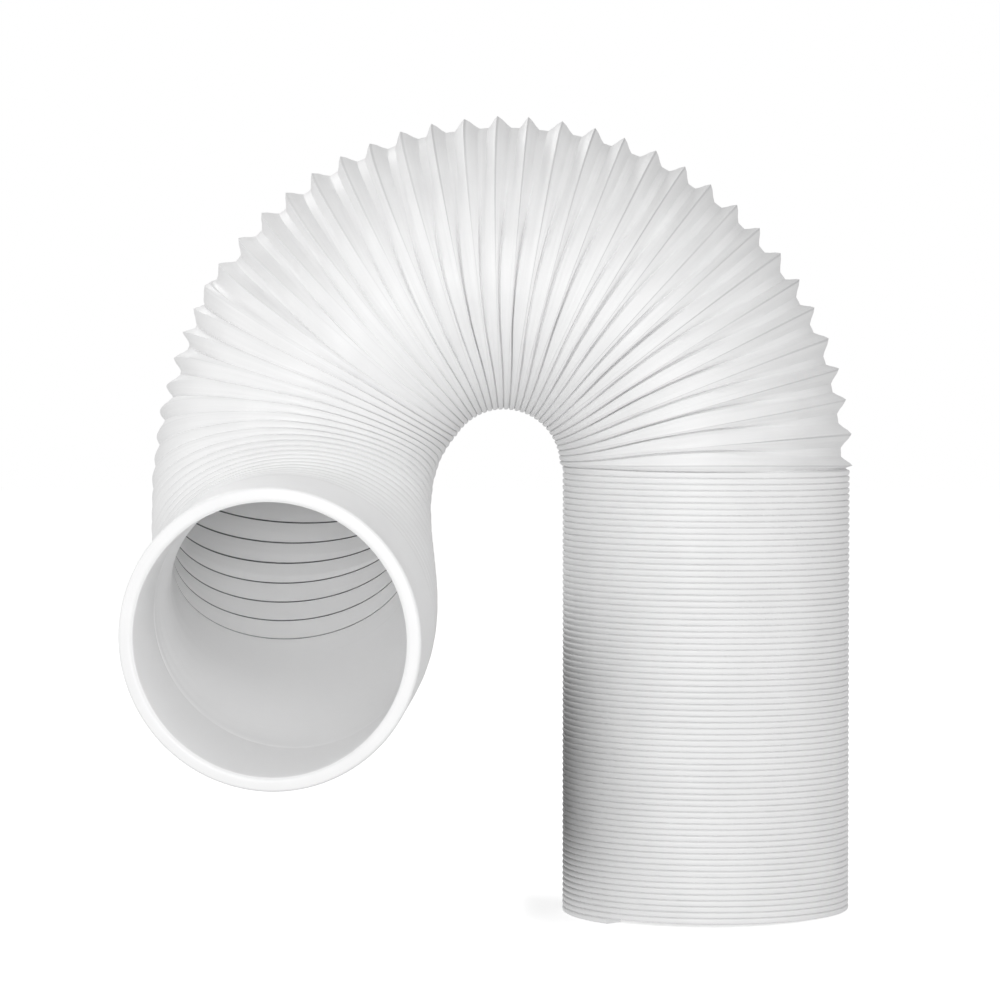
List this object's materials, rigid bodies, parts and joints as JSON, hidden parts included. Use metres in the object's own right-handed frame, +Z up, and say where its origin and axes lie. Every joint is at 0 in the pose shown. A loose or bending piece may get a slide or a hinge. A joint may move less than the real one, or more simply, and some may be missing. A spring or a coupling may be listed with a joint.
{
  "type": "air conditioner exhaust hose",
  "caption": "Flexible pleated exhaust duct for a portable air conditioner, standing on one end and bent over in an arch, with a smooth cuff at its open mouth.",
  "frame": {"origin": "on the floor, under the middle of the whole hose's box", "axes": "+Z up along the straight leg, +X towards the leg, -Y the side that the mouth looks to"},
  "size_m": [0.3718, 0.2366, 0.4161],
  "materials": {
    "pleated_plastic": "satin white polypropylene sheet",
    "cuff_plastic": "smooth satin white polypropylene"
  },
  "bodies": {
    "root": {"hose": "pleated_plastic", "end_cuff": "cuff_plastic"}
  },
  "joints": []
}
